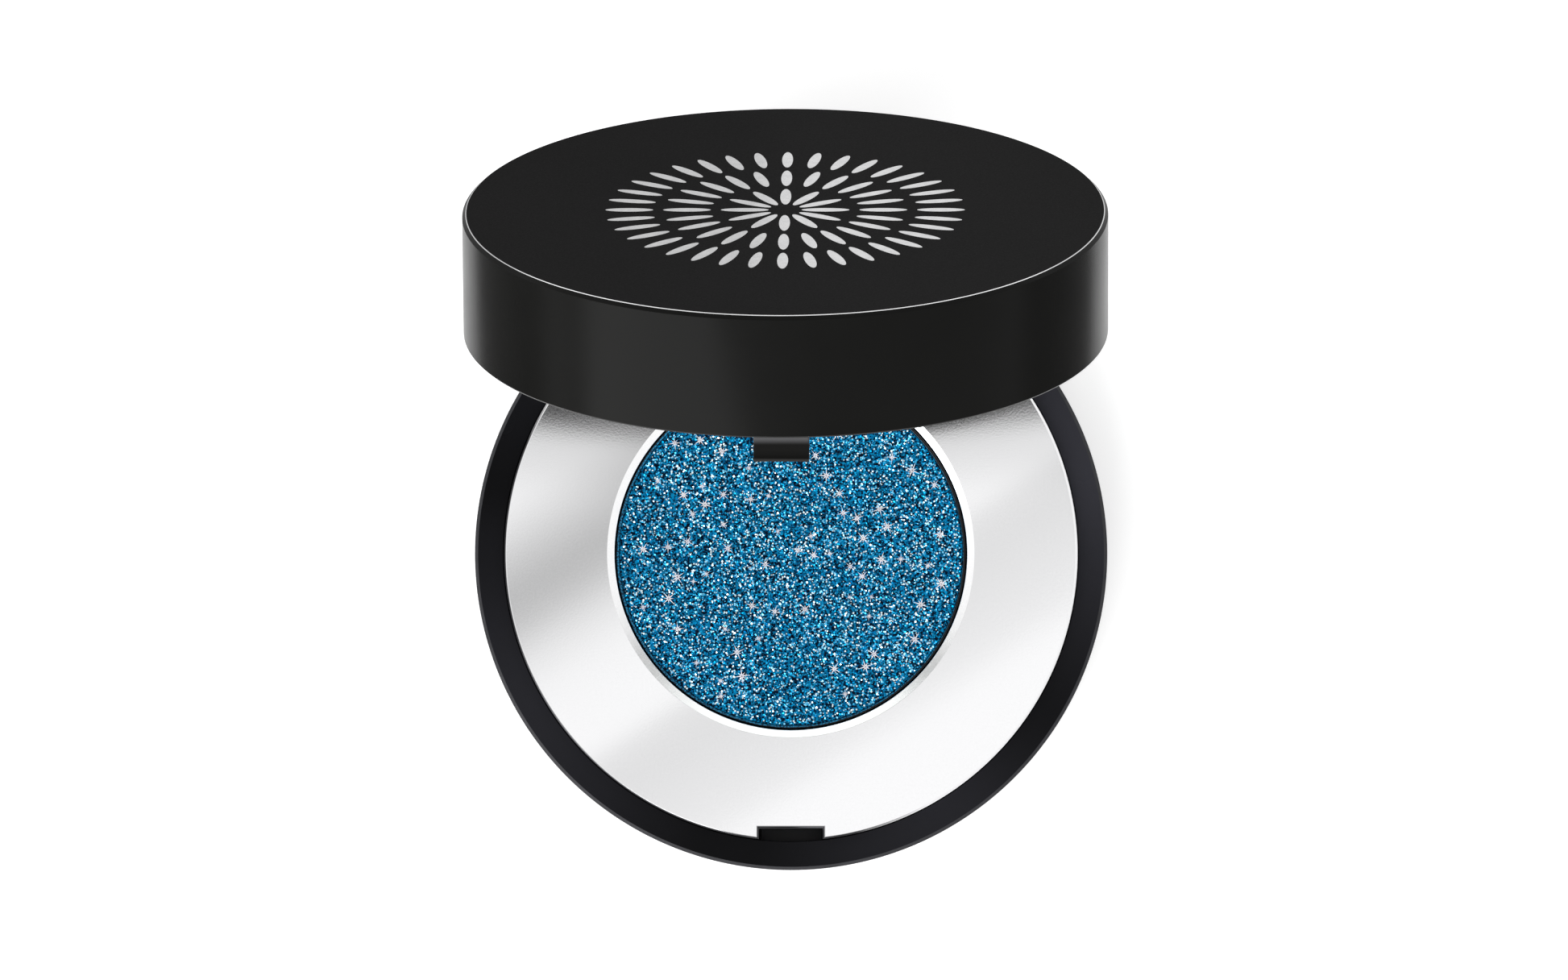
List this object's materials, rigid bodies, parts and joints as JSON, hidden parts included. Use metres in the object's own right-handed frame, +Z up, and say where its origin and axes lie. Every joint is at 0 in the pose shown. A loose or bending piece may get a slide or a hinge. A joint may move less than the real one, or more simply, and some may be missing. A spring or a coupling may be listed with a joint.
{
  "type": "eyeshadow compact",
  "caption": "Round hinged eyeshadow compact: thick black lid with a mirror inside, silver ring insert and a pan of pressed glitter powder.",
  "frame": {"origin": "centre of the base's underside, on the surface that it rests on", "axes": "+Z up out of the base, +Y to the hinge at the back, +X to the right as the user sees it"},
  "size_m": [0.047, 0.0565, 0.0543],
  "materials": {
    "black_abs": "satin-gloss black moulding",
    "silver_metallised": "vacuum-metallised silver moulding with a fine satin grain",
    "pan_aluminium": "drawn thin sheet with a dark lacquer",
    "glitter_powder": "pressed powder with blue and silver glitter",
    "pin_steel": "drawn wire",
    "mirror_glass": "silvered glass",
    "glue": "acrylic adhesive",
    "label_film": "blank silver film"
  },
  "bodies": {
    "base": {"base_shell": "black_abs", "insert_frame": "silver_metallised", "pan_adhesive": "glue", "pan": "pan_aluminium", "powder_cake": "glitter_powder", "hinge_pin": "pin_steel", "base_label": "label_film"},
    "lid": {"lid_shell": "black_abs", "lid_liner": "black_abs", "mirror_adhesive": "glue", "mirror": "mirror_glass"}
  },
  "joints": [
    {"name": "lid_hinge", "type": "hinge", "parent": "base", "child": "lid", "pos_m": [0, 0.0239, 0.0065], "axis": [-1, 0, 0], "range_deg": [-70, 40]}
  ]
}
